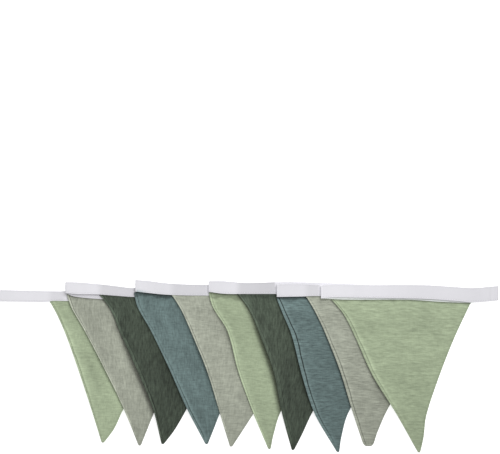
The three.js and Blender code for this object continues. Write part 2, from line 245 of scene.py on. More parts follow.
PENNANTS = (
    PennantCut(
        Cloth.LIGHT_GREEN, -167.8, (-99.6, -98.4), (3.2, 5, 4.5, 2.7), (0, -1, -1.5, 2.2), lift=2,
        lift_at=0.6, curl=1.5, rim=(1.8, 2, 2.2, 1.9, 1.8), seam=(0.4, 0.5, 0.6, 0.4, 0.2),
        rim_ply_and_highlight=0.2, glow=(0.8, 1.3, 1.5, 0.8, 0), streak=0.3, tone=(1.07, 1.16, 1.15),
        rim_shade=(0, 0.45),
        ridges=creases((-151, 60, -121, -30, 8, 1.1), (-97, -12, -83, -55, 8, 0.9)),
        shades=creases(
            (-121, 14, -105, -27, 6, 0.17), (-148, 53, -137, 28, 6, -0.07),
            (-87, -28, -78, -46, 7, -0.09),
        ),
    ),
    PennantCut(
        Cloth.BEIGE, -146.6, (-52.1, -102.2), (-2, 0.8, 3.1, 3.5), (0, -1, -2.4, -1), lift=1.5,
        lift_at=0.5, curl=1, rim=(3.2, 2.4, 2.2, 2.2, 2.2), seam=(0.9, 0.5, 0.2, 0, 0), rim_ply_and_highlight=0.5,
        glow=(0.5, 0.7, 0.8, 0.3, 0), streak=0.7, tone=(1.13, 1.14, 1.02), tape_shadow=(0.35, 1.6),
        ridges=creases((-103, 72, -80, -4, 7, 1.0), (-65, -42, -54, -82, 6, 0.6)),
        shades=creases(
            (-118, 68, -98, 10, 6, 0.1), (-84, 30, -66, -8, 6, -0.06), (-77, -33, -66, -60, 5, 0.07),
            (-147, 94, -136, 90, 3, 0.4),
        ),
    ),
    PennantCut(
        Cloth.DARK_GREEN, -103.5, (-22.5, -100.3), (6, 6, 8.2, 8.2), (2, 5, 5.8, 4.4), lift=5,
        lift_at=0.55, curl=1.5, rim=(2.4, 4, 4.4, 2.8, 2.4), seam=(0, 0.3, 0.5, 1.1, 0.6),
        rim_ply_and_highlight=0.75, glow=(0, 0.4, 0.6, 0.3, 0), streak=1, tone=(1.0, 0.77, 0.82), tape_shadow=(0.25, 2),
        cast=(0, 0.1, 0.3, 0.36, 0.2), contact_shadow=0.3, rim_shade=(0.35, 0.8),
        ridges=creases((-80, 78, -39, -11, 7, 1.0), (-27, -30, -18, -80, 6, 0.7)),
        shades=creases(
            (-77, 55, -66, 25, 5, 0.16), (-86, 78, -80, 62, 5, -0.16), (-37, -10, -33, -40, 4, -0.1),
            (-24, 20, -8, -40, 6, 0.12),
        ),
    ),
    PennantCut(
        Cloth.BLUE_GREY, -59.6, (34.1, -100.3), (-4.4, -1.8, -1, -2.4), (0, -1, -2.6, -1), lift=1.5,
        lift_at=0.6, curl=1, rim=(3.4, 3.2, 3.2, 3.6, 2.8), seam=(0.6, 0.3, 0.4, 0.9, 0.6),
        rim_ply_and_highlight=0.26, glow=(2.0, 1.2, 1.2, 2.0, 1.0), streak=0.6, tone=(0.92, 0.95, 0.82),
        tape_shadow=(0.5, 5.5),
        ridges=creases((-28, 78, -5, 40, 9, 1.1), (15, -15, 31, -58, 7, 0.9)),
        shades=creases(
            (-24, 78, -12, 42, 7, -0.12), (7, 20, 18, -5, 8, 0.1), (13, -18, 24, -36, 6, -0.08),
            (20, -45, 30, -80, 6, 0.1), (26.5, -87, 32.5, -97.5, 1, -0.45),
        ),
    ),
    PennantCut(
        Cloth.BEIGE, -10.3, (65.6, -103.5), (4.6, 6.4, 7.6, 3.9), (2, 4, 5, 2.3), lift=2.5, lift_at=0.4,
        curl=1.5, rim=(2.2, 2.4, 2.4, 2.2, 2.2), seam=(0.1, 0.6, 0.5, 0.2, 0), rim_ply_and_highlight=0.3,
        glow=(0.3, 1, 1, 0.5, 0), streak=0.4, tone=(1.18, 1.14, 1.02),
        ridges=creases((16, 70, 33, 28, 8, 0.9), (58, -24, 72, -76, 8, 0.8)),
        shades=creases(
            (10, 72, 24, 36, 6, -0.07), (34, 18, 48, -40, 7, 0.07), (78, -38, 90, -55, 5, 0.1),
        ),
    ),
    PennantCut(
        Cloth.LIGHT_GREEN, 36.4, (115.1, -106.7), (-1.6, 5.2, -0.6, -1.8), (-5, -9, -11.8, -6), lift=2,
        lift_at=0.3, curl=2, rim=(2.6, 2.6, 2.6, 2.4, 2.4), seam=(0.4, 0.2, 0.2, 0.2, 0), rim_ply_and_highlight=0.42,
        glow=(1.6, 2.2, 1.1, 0.8, 0.4), streak=0.2, tone=(1.02, 1.05, 0.95), tape_shadow=(0.32, 7),
        ridges=creases((57, 75, 77, 28, 9, 1.1), (100, -18, 113, -80, 7, 0.8)),
        shades=creases((68, 52, 82, 22, 6, 0.07), (92, 26, 104, -16, 6, -0.05)),
    ),
    PennantCut(
        Cloth.DARK_GREEN, 74.6, (145.3, -108), (7.2, 10, 11.2, 3.9), (0, -1, -3, -0.8), lift=6,
        lift_at=0.4, curl=2, rim=(2.6, 3.6, 5.4, 4.6, 3.2), seam=(0.2, 0.2, 0.3, 0.4, 0.3),
        rim_ply_and_highlight=0.5, glow=(0.5, 0.6, 0.9, 0.9, 0.4), streak=1, tone=(1.19, 0.8, 0.79),
        tape_shadow=(0.3, 4.5), cast=(0.25, 0.4, 0.46, 0.44, 0.2), contact_shadow=0.3, rim_shade=(0.35, 0.8),
        ridges=creases((105, 79, 134, 8, 7, 0.9), (144, -24, 151, -80, 6, 0.7)),
        shades=creases((136, -3, 141, -43, 4, 0.12), (123, 33, 130, -10, 4, -0.1)),
    ),
    PennantCut(
        Cloth.BLUE_GREY, 123.4, (203.5, -110.6), (0, 0.6, -6.2, -9.3), (-5, -10, -13.4, -7), lift=2.5,
        lift_at=0.5, curl=2, rim=(3.4, 5.4, 4.8, 4.4, 3.2), seam=(1.4, 1.6, 1.6, 1.1, 0), rim_ply_and_highlight=0.34,
        glow=(1.8, 1.5, 1.5, 1.5, 0.6), streak=0, tone=(0.91, 0.81, 0.765), tape_shadow=(0.5, 4.2),
        contact_shadow=0.35,
        ridges=creases(
            (142, 70, 170, 77, 6, 0.8), (161, 28, 186, 19, 7, 0.6), (178, -7, 203, -17, 6, 0.6),
            (187, -53, 208, -61, 6, 0.5),
        ),
        shades=creases(
            (138, 79, 168, 68, 6, -0.14), (180, 2, 212, -2, 4, 0.1), (175, -25, 212, -44, 7, 0.1),
            (156, 52, 172, 30, 6, -0.05), (150, 37, 154.5, 33.5, 1.3, 0.35),
        ),
    ),
    PennantCut(
        Cloth.BEIGE, 162, (242.6, -102.9), (3.9, 6.4, 6.7, 2.8), (0, -2, -5, -3.4), lift=2, lift_at=0.5,
        curl=1.5, rim=(2.6, 3.2, 3.8, 3.6, 3), seam=(0.2, 0.6, 0.9, 0.8, 0.6), rim_ply_and_highlight=0.18,
        glow=(0.4, 0.6, 0.9, 0.6, 0.2), streak=0, tone=(1.14, 1.0, 0.93), tape_shadow=(0.35, 1.4),
        contact_shadow=0.3, tip_width=12, tip_squeeze=0.4,
        ridges=creases(
            (193, 53, 216, 28, 7, 0.7), (221, -7, 247, -17, 6, 0.6), (229, -50, 254, -58, 6, 0.5),
        ),
        shades=creases(
            (166, 82, 185, 68, 5, -0.08), (194, 52, 218, 22, 6, -0.06), (222, -24, 256, -30, 4, 0.06),
            (254, -32, 266, -54, 5, 0.08),
        ),
    ),
    PennantCut(
        Cloth.LIGHT_GREEN, 194.1, (307.9, -111), (4.9, 3.2, -2.3, 0.3), (-5.8, -8.5, -8.4, -2.4),
        lift=2.5, lift_at=0.6, curl=3, rim=(2.8, 3.6, 3.8, 2.6, 2.4), seam=(0.4, 0.5, 0.4, 0.1, 0),
        rim_ply_and_highlight=0.12, glow=(1.2, 1.5, 1.6, 1.1, 0.3), streak=0, tone=(1.06, 0.965, 0.86),
        tape_shadow=(0.42, 1.8), contact_shadow=0.15,
        ridges=creases(
            (221, 70, 272, 78, 7, 0.8), (247, 40, 296, 50, 7, 0.7), (276, 6, 324, 13, 7, 0.6),
            (283, -43, 306, -94, 8, 1.0), (344, 62, 319, -7, 8, 0.9),
        ),
        shades=creases(
            (222, 78, 262, 64, 8, -0.08), (315, 78, 334, 28, 7, 0.05), (277, -24, 320, -64, 10, 0.07),
        ),
    ),
)


# How the layers lie


def ease(value: Array) -> Array:
    """0 below 0 and 1 above 1, with a soft S between."""
    v = np.clip(value, 0, 1)
    return v * v * (3 - 2 * v)


def lerp(a: Array, b: Array, share: Array) -> Array:
    """The value that lies a share of the way from a to b."""
    return a + (b - a) * share


def through(places: Array, values: Array, x: Array) -> Array:
    """A smooth line through rows of numbers, level beyond its ends.

    Args:
        places: rising x of the rows.
        values: y of the rows.
        x: where the line is wanted.

    Returns:
        y of the line there.
    """
    xs = np.asarray(places, float)
    ys = np.asarray(values, float)
    last = len(xs) - 1
    i = np.clip(np.searchsorted(xs, x, side="right") - 1, 0, last - 1)
    before = np.maximum(i - 1, 0)
    after = np.minimum(i + 2, last)
    span = xs[i + 1] - xs[i]
    t = np.clip((x - xs[i]) / span, 0, 1)
    start = (ys[i + 1] - ys[before]) / (xs[i + 1] - xs[before]) * span
    end = (ys[after] - ys[i]) / (xs[after] - xs[i]) * span
    rise = t * t * (3 - 2 * t)
    return lerp(ys[i], ys[i + 1], rise) + start * t * (1 - t) ** 2 - end * t**2 * (1 - t)


def down_side(corner_y: Array, tip_y: float, y: Array) -> Array:
    """Share of the way down a side at which a point lies."""
    return np.clip((corner_y - y) / (corner_y - tip_y), 0, 1)


@dataclass
class FoldedStack:
    """The order in which tape and pennants lie on each other, and the heights that follow."""

    cloth_thickness: float = 1.2
    cloth_pitch: float = 1.8
    pennant_width: float = 180.0
    tape_ply: float = 0.5
    clearance: float = 0.3
    slot: float = 1.2
    cloth_ease: float = 26.0
    edge_clearance: float = 2.0
    held_y: float = 80.0
    loose_y: float = 38.0
    lift_reach: float = 34.0
    lift_half_length: float = 0.45
    curl_from: float = 0.45
    curl_grows: float = 0.3
    curl_ends: float = 0.2
    passes: tuple[TapePass, ...] = field(default_factory=lay_passes)
    cuts: tuple[PennantCut, ...] = PENNANTS

    @property
    def tape_thickness(self) -> float:
        """Thickness of the tape folded over a pennant."""
        return self.slot + 2 * self.tape_ply

    @property
    def tape_pitch(self) -> float:
        """Distance between the middles of two runs that lie on each other."""
        return self.tape_thickness + self.clearance

    @property
    def fold_inset(self) -> float:
        """Distance from the outside of a fold to the middle of its turn."""
        return (self.tape_pitch + self.tape_thickness) / 2

    def tape_edge(self, run: TapePass, x: Array, lower: bool) -> Array:
        """y of an edge of the tape.

        Args:
            run: the run of tape.
            x: where it is wanted.
            lower: True for the lower edge.

        Returns:
            y of that edge.
        """
        column = 2 if lower else 1
        return through([row[0] for row in run.edges], [row[column] for row in run.edges], x)

    def tape_height(self, index: int, x: Array) -> Array:
        """Height of the middle of a run of tape, which lies on all the runs before it.

        Args:
            index: number of the run, from 0.
            x: where it is wanted.

        Returns:
            The heights.
        """
        height = np.full_like(x, self.tape_thickness / 2)
        for run in self.passes[:index]:
            beyond = np.maximum(np.maximum(run.low - x, x - run.high), 0)
            height += self.tape_pitch * (1 - ease((beyond - self.edge_clearance) / run.ease))
        return height

    def corner(self, index: int, right: bool) -> Two:
        """x and y of one of a pennant's two corners."""
        x = self.cuts[index].corner + (self.pennant_width if right else 0)
        return x, float(self.tape_edge(self.passes[index], np.array(x), True))

    def side(self, index: int, right: bool, share: Array) -> Array:
        """x of a side of a pennant.

        Args:
            index: number of the pennant, from 0.
            right: True for the right side.
            share: how far down that side, from 0 to 1.

        Returns:
            x of the side there.
        """
        cut = self.cuts[index]
        bow = cut.right_bow if right else cut.left_bow
        places = RIGHT_BOW_AT if right else LEFT_BOW_AT
        tip = cut.tip[0] + (0.5 if right else -0.5) * cut.tip_width
        bend = through([0, *places, 1], [0, *bow, 0], share)
        return lerp(self.corner(index, right)[0], tip, share) + bend

    def sides(self, index: int, y: Array) -> tuple[Array, Array, Array, Array]:
        """Both sides of a pennant at given heights of the plan.

        Args:
            index: number of the pennant, from 0.
            y: where they are wanted.

        Returns:
            x of the left and the right side, and the shares of the way down them.
        """
        tip_y = self.cuts[index].tip[1]
        left_share = down_side(self.corner(index, False)[1], tip_y, y)
        right_share = down_side(self.corner(index, True)[1], tip_y, y)
        left = self.side(index, False, left_share)
        right = self.side(index, True, right_share)
        return left, right, left_share, right_share

    def lift(self, index: int, x: Array, y: Array) -> Array:
        """How far a pennant stands up off what lies under it: its raised sides and its creases.

        Args:
            index: number of the pennant, from 0.
            x: x of the points.
            y: y of the points.

        Returns:
            The heights.
        """
        cut = self.cuts[index]
        left, right, down, low = self.sides(index, y)
        along = ease(1 - np.abs(down - cut.lift_at) / self.lift_half_length)
        raised = cut.lift * along * ease(1 - (x - left) / self.lift_reach)
        curled = cut.curl * ease((low - self.curl_from) / self.curl_grows)
        curled = curled * ease((1 - low) / self.curl_ends)
        total = raised + curled * ease(1 - (right - x) / self.lift_reach)
        for ridge in cut.ridges:
            total = total + ridge.rise(x, y)
        return total

    def cloth_height(self, index: int, x: Array, y: Array) -> Array:
        """Height of the middle of a pennant's cloth.

        Args:
            index: number of the pennant, from 0.
            x: x of the points.
            y: y of the points.

        Returns:
            The heights.
        """
        loose = self.cloth_thickness / 2 + self.lift(index, x, y)
        for lower in range(index):
            left, right, _, _ = self.sides(lower, y)
            cover = np.ones_like(x)
            for inside in (x - left, right - x, y - self.cuts[lower].tip[1]):
                cover = cover * ease(1 + (inside + self.edge_clearance) / self.cloth_ease)
            loose = loose + (self.cloth_pitch + self.lift(lower, x, y)) * cover
        held = ease((y - self.loose_y) / (self.held_y - self.loose_y))
        return lerp(loose, self.tape_height(index, x), held)

    def held_span(self, index: int) -> Two:
        """The stretch of a pennant's top edge that the tape holds, clear of the folds.

        Args:
            index: number of the pennant, from 0.

        Returns:
            x of its left and its right end.
        """
        inset = self.fold_inset + self.clearance
        run = self.passes[index]
        left = self.corner(index, False)[0]
        right = self.corner(index, True)[0]
        return max(left, run.low + inset), min(right, run.high - inset)


# Meshes


def lattice(upper: Array, lower: Array) -> Array:
    """Triangles between two rows of points, the lower with as many points or one less.

    Args:
        upper: numbers of the points of the upper row, from left to right.
        lower: numbers of the points of the lower row.

    Returns:
        Triangles that face up, three numbers each.
    """
    if len(upper) == len(lower):
        first = np.stack([upper[:-1], lower[:-1], lower[1:]], 1)
        second = np.stack([upper[:-1], lower[1:], upper[1:]], 1)
    else:
        first = np.stack([upper[:-1], lower, upper[1:]], 1)
        second = np.stack([lower[:-1], lower[1:], upper[1:-1]], 1)
    return np.concatenate([first, second])


def add_object(name: str, data: Any) -> bpy.types.Object:
    """Puts a mesh, a lamp or a camera in the scene.

    Args:
        name: name of the object.
        data: what it holds.

    Returns:
        The new object.
    """
    piece = bpy.data.objects.new(name, data)
    bpy.context.scene.collection.objects.link(piece)
    return piece


def make_object(name: str, points: Array, faces: list, attributes: dict[str, Array]) -> bpy.types.Object:
    """A mesh object at the origin with named values on its points.

    Args:
        name: name of the object.
        points: places in millimetres, three numbers each.
        faces: numbers of the points of each face.
        attributes: values on the points by name, one number or three each.

    Returns:
        The new object, linked to the scene.
    """
    mesh = bpy.data.meshes.new(name)
    mesh.from_pydata((points * MM).tolist(), [], faces)
    for key, values in attributes.items():
        kind, slot = ("FLOAT", "value") if values.ndim == 1 else ("FLOAT_VECTOR", "vector")
        layer = mesh.attributes.new(key, kind, "POINT")
        layer.data.foreach_set(slot, values.astype(np.float32).ravel())
    mesh.shade_smooth()
    mesh.update()
    return add_object(name, mesh)


def roll(distance: Array, radius: float) -> Array:
    """Profile of a rounded edge: 0 at the edge, 1 a radius inside it."""
    return np.sqrt(np.clip(1 - (1 - np.clip(distance / radius, 0, 1)) ** 2, 0, 1))


def bell(distance: Array, width: float) -> Array:
    """A soft hump of height 1 round a distance of 0."""
    return np.exp(-((distance / width) ** 2))


def humps(distance: Array, rows: Rows) -> Array:
    """The sum of soft humps, each given by its height, place and width."""
    return sum(height * bell(distance - at, width) for height, at, width in rows)


# Distances at which a pennant has points: from its left edge, from the seam inside that edge, and
# from its right edge
EDGE_STEPS = (0, 0.12, 0.35, 0.7, 1.15)
SEAM_STEPS = (-1.0, -0.55, -0.25, 0, 0.25, 0.55, 1, 1.6, 2.4)
RIGHT_STEPS = (0, 0.12, 0.35, 0.75, 1.25, 1.5, 1.7, 1.9, 2.2, 2.8)

# Rows inside the tape: height above its lower edge, and how far the row has opened to the full
# width and thickness of the pennant
MOUTH_ROWS = ((8, 0), (5, 0), (2, 0), (-0.3, 0), (-0.8, 0.35), (-1.4, 0.75))

# Shares of the last step at which the tip has rows
TIP_STEPS = (0.4, 0.7, 0.9, 1)

# Waves of the washed cloth: length, length over which they bend, and strength
CRINKLES = ((3.6, 41, 0.5), (5.3, 57, 0.7), (8.7, 83, 0.8))


@dataclass
class Pennant:
    """One pennant: two plies of muslin sewn face to face, turned and pressed.

    Reliefs are rows of height, distance from the seam and width. Waves are rows of height, rate or
    length, and shift from one pennant to the next.
    """

    stack: FoldedStack
    index: int
    columns: int = 138
    length: float = 195.0
    shoulder: float = 2.0
    pressed_half: float = 0.3
    crinkle_height: float = 0.13
    crinkle_grows: float = 0.06
    free_half: float = 0.35
    edge_radius: float = 0.8
    least_upper: float = 0.06
    least_under: float = 0.05
    edge_share: float = 0.7
    narrow_scale: float = 0.07
    narrow_least: float = 0.05
    tip_reach: float = 0.6
    right_seam: float = 1.7
    left_relief: Rows = ((-0.46, 0, 0.42), (0.26, 1.15, 0.85), (0.14, -1.6, 1.0))
    right_relief: Rows = ((-0.16, 0, 0.4), (0.08, 1, 0.8))
    right_depth: float = 0.8
    # Widths of the painted shade in the left and right seams, and how dark it is in the right one
    left_line: float = 0.55
    right_line: float = 0.45
    right_seam_shade: float = 0.25
    rim_waves: Rows = ((0.2, 31, 1.7), (0.12, 67, 3.4))
    # How far the painted highlight of the rolled edge blurs
    rim_blur: float = 0.8
    # The painted highlight inside the seam: its strength, distance from the seam and reach on either side
    seam_highlight: float = 0.16
    highlight_at: float = 1.2
    highlight_reach: Two = (0.7, 2.6)
    # The painted shadow under the tape: the waves of its lower edge and its blur; then the painted shadows
    # beside the next pennant
    tape_shadow_waves: Rows = ((0.16, 5.3, 0), (0.12, 2.1, 1))
    tape_shadow_blur: float = 2.2
    cast_gap: float = 2.5
    cast_fade: float = 5.0
    contact_reach: float = 1.8
    pattern_step: float = 0.37
    rows: list[dict[str, Array]] = field(default_factory=list)

    @property
    def cut(self) -> PennantCut:
        """Its row of the table."""
        return self.stack.cuts[self.index]

    @property
    def node(self) -> str:
        """Name of its solid."""
        return f"pennant_{self.index + 1:02d}"

    def across(self, width: float, rim: float, inner: int) -> Array:
        """Shares of the width at which a row has its points, close together along both edges.

        Args:
            width: width of the row.
            rim: width of the rolled left edge there.
            inner: number of columns between the two edges.

        Returns:
            The shares, from 0 to 1.
        """
        left = np.array([*EDGE_STEPS, *(rim + step for step in SEAM_STEPS)])
        right = np.array(RIGHT_STEPS)
        scale = min(1.0, self.edge_share * width / (left[-1] + right[-1]))
        left = left * scale / width
        right = 1 - right[::-1] * scale / width
        return np.concatenate([left, np.linspace(left[-1], right[0], inner + 3)[1:-1], right])

    def rim_at(self, share: Array) -> Array:
        """Width of the rolled edge, a little uneven.

        Args:
            share: how far down the left side, from 0 to 1.

        Returns:
            The width there.
        """
        width = through(FIVE_PLACES, self.cut.rim, share)
        for height, rate, shift in self.rim_waves:
            width = width + height * np.sin(rate * share + shift * self.index)
        return width

    def add_row(self, x: Array, y: Array, half: float, share: Array, u: Array) -> None:
        """Keeps a row of points of the pennant.

        Args:
            x: x of the points.
            y: y of the points.
            half: half the thickness of the cloth.
            share: how far down the pennant they are, from 0 to 1.
            u: how far across it they are, from 0 to 1.
        """
        self.rows.append({
            "x": x, "y": y, "z": self.stack.cloth_height(self.index, x, y),
            "half": np.full(len(u), half), "v": share, "u": u, "left": x - x[0], "right": x[-1] - x,
        })

    def lay_out(self) -> None:
        """Makes the rows, from the top edge inside the tape down to the tip."""
        stack = self.stack
        run = stack.passes[self.index]
        tip_y = self.cut.tip[1]
        held = stack.held_span(self.index)
        corners = [stack.corner(self.index, right)[0] for right in (False, True)]
        full = stack.cloth_thickness / 2
        u = self.across(corners[1] - corners[0], float(self.rim_at(np.array(0.0))), self.columns)
        for offset, opened in MOUTH_ROWS:
            x = lerp(lerp(*held, u), lerp(*corners, u), opened)
            y = stack.tape_edge(run, x, True) + offset
            self.add_row(x, y, lerp(self.pressed_half, full, opened), np.zeros(len(u)), u)
        for step in [*range(self.columns), *(self.columns - 1 + extra for extra in TIP_STEPS)]:
            down = step / self.columns
            top = stack.tape_edge(run, np.mean(corners), True) - self.shoulder
            left, right, share, _ = stack.sides(self.index, np.array([lerp(top, tip_y, down)]))
            inner = max(self.columns - int(step), 1)
            u = self.across(float(right[0] - left[0]), float(self.rim_at(share)[0]), inner)
            tops = stack.tape_edge(run, lerp(*corners, u), True) - self.shoulder
            y = lerp(tops, tip_y, down)
            _, _, left_share, right_share = stack.sides(self.index, y)
            along = lerp(left_share, right_share, u)
            edges = [stack.side(self.index, side, along) for side in (False, True)]
            self.add_row(self.round_tip(lerp(*edges, u), y), y, full, along, u)

    def round_tip(self, x: Array, y: Array) -> Array:
        """Draws the last rows in towards the middle, so that the tip is round.

        Args:
            x: x of the points of a row.
            y: y of the points.

        Returns:
            The new x.
        """
        reach = self.tip_reach * self.cut.tip_width * (1.3 - self.cut.tip_squeeze)
        share = np.sqrt(np.clip((y - self.cut.tip[1]) / reach, 0, 1))
        squeeze = lerp(self.cut.tip_squeeze, 1, share * (2 - share))
        middle = (x[0] + x[-1]) / 2
        return middle + (x - middle) * squeeze

    def profile(self, points: dict[str, Array]) -> tuple[Array, Array, Array, Array]:
        """Heights of both faces over the middle of the cloth, and the painted light and shade of its
        edges.

        Args:
            points: the values of all points, by name.

        Returns:
            Height of the upper face, of the under face, the painted shade of the seam from 0 to 1, and
            a factor of painted light and shade for the cloth.
        """
        share = points["v"]
        lean = [
            math.cos(math.atan2(self.cut.tip[0] - self.stack.corner(self.index, side)[0], self.length))
            for side in (False, True)
        ]
        width = points["left"] + points["right"]
        scale = np.clip(self.narrow_scale * width, self.narrow_least, 1)
        from_left = points["left"] * lean[0]
        from_right = points["right"] * lean[1]
        from_tip = points["y"] - self.cut.tip[1]
        loose = (points["half"] / points["half"].max()) ** 3
        edge = np.minimum(np.minimum(from_left, from_right), from_tip + 0.02)
        limit = roll(edge + 0.01, self.edge_radius)
        body = points["half"] * limit
        depth = through(FIVE_PLACES, self.cut.seam, share) * loose * scale
        inside = from_left - self.rim_at(share) * scale * lean[0]
        right_inside = from_right - self.right_seam
        shape = depth * humps(inside, self.left_relief)
        shape = shape + self.right_depth * loose * scale * humps(right_inside, self.right_relief)
        # Painted shade in the seams
        seam = depth * bell(inside, self.left_line)
        seam = seam + self.right_seam_shade * loose * bell(right_inside, self.right_line)
        # Painted highlight just inside the seam
        beyond = (inside - self.highlight_at) / np.where(inside < self.highlight_at, *self.highlight_reach)
        glow = self.seam_highlight * through(FIVE_PLACES, self.cut.glow, share) * bell(beyond, 1)
        # The rolled edge: lighter from its double ply and a painted highlight
        rim = self.cut.rim_ply_and_highlight * ease(0.5 - inside / self.rim_blur) * scale
        # Painted shade along the outermost edge
        edge_shade = -self.cut.rim_shade[0] * bell(edge, self.cut.rim_shade[1])
        # Painted light, darker low down, times the painted highlights and shade of the edges and the
        # painted shadows
        tone = through((0, 0.5, 1), self.cut.tone, share) * (1 + glow + rim + edge_shade)
        upper = np.maximum(body + shape * limit, self.least_upper)
        return upper, -np.maximum(body, self.least_under), seam, tone * self.shade(points)

    def shade(self, points: dict[str, Array]) -> Array:
        """Painted shade: how much of the light it leaves on the cloth under the tape, over troughs and
        beside the next pennant.

        Args:
            points: the values of all points, by name.

        Returns:
            A factor for each point, 1 in the open.
        """
        x, y = points["x"], points["y"]
        dark, depth = self.cut.tape_shadow
        below = self.stack.tape_edge(self.stack.passes[self.index], x, True) - y
        uneven = 1
        for height, length, shift in self.tape_shadow_waves:
            uneven = uneven + height * np.sin(x / length + shift * self.index)
        shade = 1 - dark * (1 - ease((below - depth * uneven) / self.tape_shadow_blur + 0.5))
        for trough in self.cut.shades:
            shade = shade * (1 - trough.rise(x, y))
        # Painted shadow and painted contact shadow of the next pennant's left side
        if self.index + 1 < len(self.stack.cuts):
            above = self.stack.cuts[self.index + 1]
            left, _, down, _ = self.stack.sides(self.index + 1, y)
            away = left - x
            cast = through(FIVE_PLACES, above.cast, down)
            shade = shade * (1 - cast * (1 - ease((away - self.cast_gap) / self.cast_fade)))
            shade = shade * (1 - above.contact_shadow * bell(np.maximum(away, 0), self.contact_reach))
        return shade

    def crinkle(self, across: Array, down: Array) -> Array:
        """Fine uneven waves of the washed muslin.

        Args:
            across: distance across the flat cloth.
            down: distance down it.

        Returns:
            Their height, from about -1 to 1.
        """
        rng = np.random.default_rng(100 + self.index)
        streak = self.cut.streak
        total = np.zeros_like(across)
        for main, side, weight in ((down, across, 1 - streak), (across, down, streak)):
            for wave, swing, strength in CRINKLES:
                a, b, c, d = rng.uniform(0, 2 * math.pi, 4)
                bend = 1.6 * np.sin(2 * math.pi * side / swing + a) + 0.9 * np.sin(side / 5.1 + b)
                swell = 0.55 + 0.45 * np.sin(side / 9.3 + c + 0.7 * np.sin(main / 14.1 + d))
                total += weight * strength * swell * np.sin(2 * math.pi * main / wave + bend + d)
        return total / 1.6

    def build(self) -> bpy.types.Object:
        """Makes the pennant's mesh.

        Returns:
            The new object.
        """
        self.rows.clear()
        self.lay_out()
        points = {key: np.concatenate([row[key] for row in self.rows]) for key in self.rows[0]}
        across = (points["u"] - 0.5) * self.stack.pennant_width * (1 - points["v"])
        down = points["v"] * self.length
        upper, lower, seam, tone = self.profile(points)
        full = self.stack.cloth_thickness / 2
        free = np.clip((points["half"] - self.free_half) / (full - self.free_half), 0, 1)
        free = free * ease(points["v"] / self.crinkle_grows + 0.1)
        wave = self.crinkle_height * free * self.crinkle(across, down) * np.clip(upper / full, 0, 1)
        plan = np.stack([points["x"], points["y"]], 1)
        middle = points["z"] + wave
        top = np.column_stack([plan, middle + upper])
        under = np.column_stack([plan, np.maximum(middle + lower, 0.0)])
        flat = np.column_stack([across * MM, down * MM, np.full(len(top), self.index * self.pattern_step)])
        return make_object(
            f"muslin_{self.node}",
            np.concatenate([top, under]),
            self.faces(len(top)).tolist(),
            {
                "cloth_place": np.tile(flat, (2, 1)),
                # Painted shade in the seams, half as dark underneath
                "seam": np.concatenate([seam, 0.5 * seam]),
                "streak": np.full(2 * len(top), self.cut.streak),
                # Painted light and shade of the cloth
                "light_and_tint": np.repeat(np.tile(tone, 2)[:, None], 3, 1),
            },
        )

    def faces(self, count: int) -> Array:
        """Triangles of both faces and of the rim between them.

        Args:
            count: number of points on one face.

        Returns:
            The triangles.
        """
        starts = np.cumsum([0] + [len(row["x"]) for row in self.rows])
        numbers = [np.arange(a, b) for a, b in zip(starts[:-1], starts[1:])]
        left = len(EDGE_STEPS) + len(SEAM_STEPS)
        right = len(RIGHT_STEPS)
        parts = (slice(left + 1), slice(left, -right), slice(-right - 1, None))
        face = np.concatenate([
            lattice(a[part], b[part]) for a, b in zip(numbers[:-1], numbers[1:]) for part in parts
        ])
        loop = np.concatenate([
            [row[0] for row in numbers], numbers[-1][1:],
            [row[-1] for row in numbers[-2::-1]], numbers[0][-2:0:-1],
        ])
        following = np.roll(loop, -1)
        rim = np.concatenate([
            np.stack([loop + count, following + count, following], 1),
            np.stack([loop + count, following, loop], 1),
        ])
        return np.concatenate([face, face[:, ::-1] + count, rim])


# Points of the tape's section, in order round it: True where it is measured from the upper edge,
# distance from that edge, and how far in from the face
TAPE_FACE = (
    (False, 0.0, 0.24), (False, 0.12, 0.06), (False, 0.45, 0.0), (False, 1.0, 0.0),
    (False, 1.4, 0.03), (False, 1.7, 0.12), (False, 2.0, 0.03), (False, 2.5, 0.0),
    (False, 3.0, 0.0), (False, 4.2, 0.0), (False, 6.0, 0.0), (True, 4.4, 0.0), (True, 2.5, 0.0),
    (True, 1.2, 0.0), (True, 0.6, 0.07), (True, 0.22, 0.3), (True, 0.0, 0.75),
)

# Points inside its fold: True where it is measured from the upper edge, distance from that edge,
# behind (-1) or in front (1), and how far off the inside
TAPE_INSIDE = (
    (False, 0.0, 1, 0.12), (False, 0.25, 1, 0.0), (True, 0.5, 1, 0.0),
    (True, 0.5, -1, 0.0), (False, 0.25, -1, 0.0), (False, 0.0, -1, 0.12),
)


